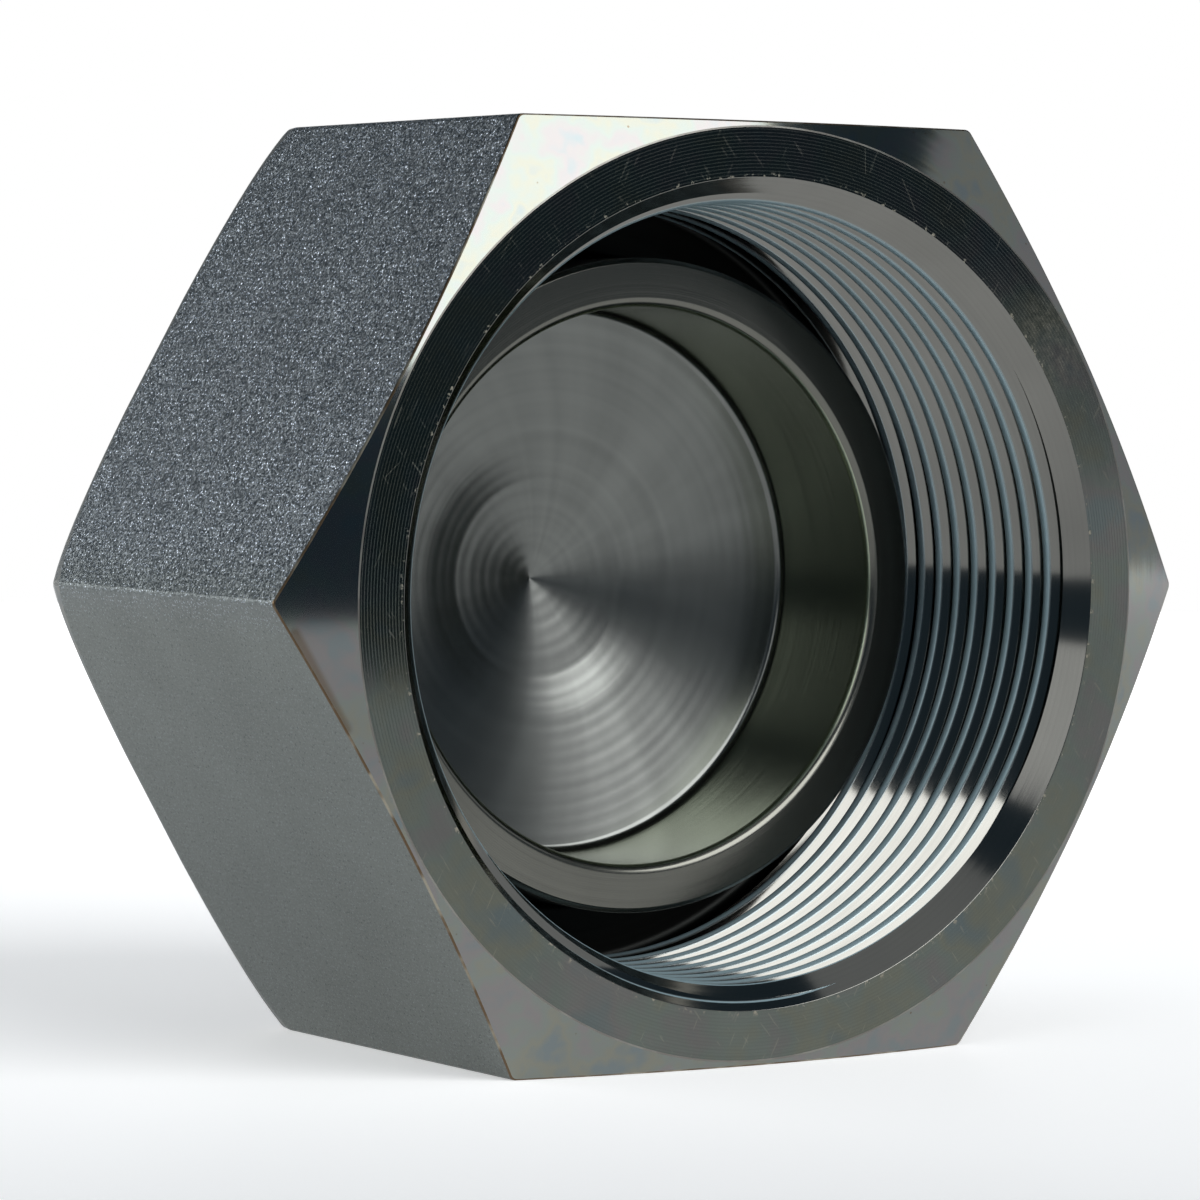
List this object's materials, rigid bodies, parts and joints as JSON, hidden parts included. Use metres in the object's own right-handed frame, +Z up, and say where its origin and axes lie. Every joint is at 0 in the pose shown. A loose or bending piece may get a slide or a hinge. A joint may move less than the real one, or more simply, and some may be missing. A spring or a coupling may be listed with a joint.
{
  "type": "threaded protection cap",
  "caption": "Closed hexagonal steel cap with a fine female thread, a raised ring seat standing inside it and a drilled recess behind the seat.",
  "frame": {"origin": "centre of the hexagon flat that the cap rests on, halfway along the cap", "axes": "+Y along the cap's own axis from the open mouth to the closed end, 30 mm above the origin, +Z up from the flat it rests on, +X across the hexagon's corners"},
  "size_m": [0.0692, 0.0336, 0.06],
  "materials": {
    "cap_steel": "zinc plated steel, turned inside and on the end faces, blasted on the hexagon flats"
  },
  "bodies": {
    "root": {"cap_body": "cap_steel"}
  },
  "joints": []
}
